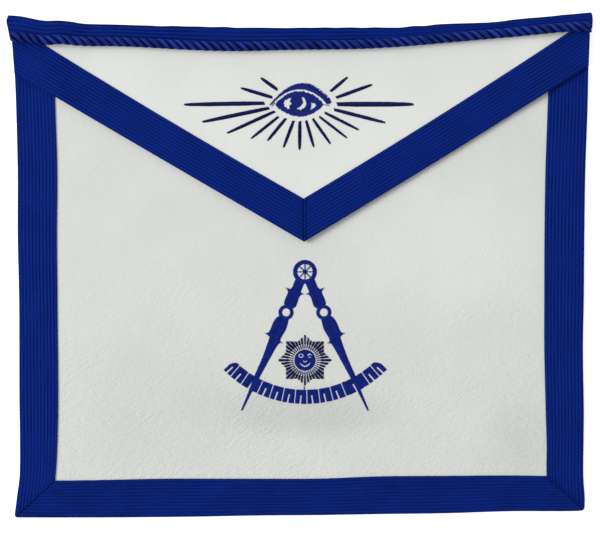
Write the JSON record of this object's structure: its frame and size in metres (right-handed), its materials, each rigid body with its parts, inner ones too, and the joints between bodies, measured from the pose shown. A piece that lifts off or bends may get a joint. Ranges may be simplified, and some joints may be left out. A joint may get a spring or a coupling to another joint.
{
  "type": "masonic apron",
  "caption": "White leather apron with a pointed flap, ribbed blue ribbon edging, a twisted cord along the waist and embroidered emblems.",
  "frame": {"origin": "middle of the footprint, at the height of the underside", "axes": "+X to the right of the front as seen, +Y up the front towards the waist, +Z out of the front; the apron lies flat with its front up"},
  "size_m": [0.4184, 0.3607, 0.0163],
  "materials": {
    "white_leather": "satin",
    "blue_ribbon": "ribbed",
    "blue_cord": "satin",
    "blue_thread": "satin"
  },
  "bodies": {
    "root": {"apron_panel": "white_leather", "flap_panel": "white_leather", "side_ribbon_left": "blue_ribbon", "side_ribbon_right": "blue_ribbon", "bottom_ribbon": "blue_ribbon", "flap_ribbon_left": "blue_ribbon", "flap_ribbon_right": "blue_ribbon", "top_band": "blue_ribbon", "twisted_cord": "blue_cord", "eye_lid": "blue_thread", "eye_iris": "blue_thread", "eye_ray_01": "blue_thread", "eye_ray_02": "blue_thread", "eye_ray_03": "blue_thread", "eye_ray_04": "blue_thread", "eye_ray_05": "blue_thread", "eye_ray_06": "blue_thread", "eye_ray_07": "blue_thread", "eye_ray_08": "blue_thread", "eye_ray_09": "blue_thread", "eye_ray_10": "blue_thread", "eye_ray_11": "blue_thread", "eye_ray_12": "blue_thread", "eye_ray_13": "blue_thread", "eye_ray_14": "blue_thread", "eye_ray_15": "blue_thread", "eye_ray_16": "blue_thread", "eye_ray_17": "blue_thread", "compass_head": "blue_thread", "compass_leg_left": "blue_thread", "compass_leg_right": "blue_thread", "quadrant_block_01": "blue_thread", "quadrant_block_02": "blue_thread", "quadrant_block_03": "blue_thread", "quadrant_block_04": "blue_thread", "quadrant_block_05": "blue_thread", "quadrant_block_06": "blue_thread", "quadrant_block_07": "blue_thread", "quadrant_block_08": "blue_thread", "quadrant_block_09": "blue_thread", "quadrant_block_10": "blue_thread", "quadrant_block_11": "blue_thread", "sun_rays": "blue_thread", "sun_face": "blue_thread"}
  },
  "joints": []
}
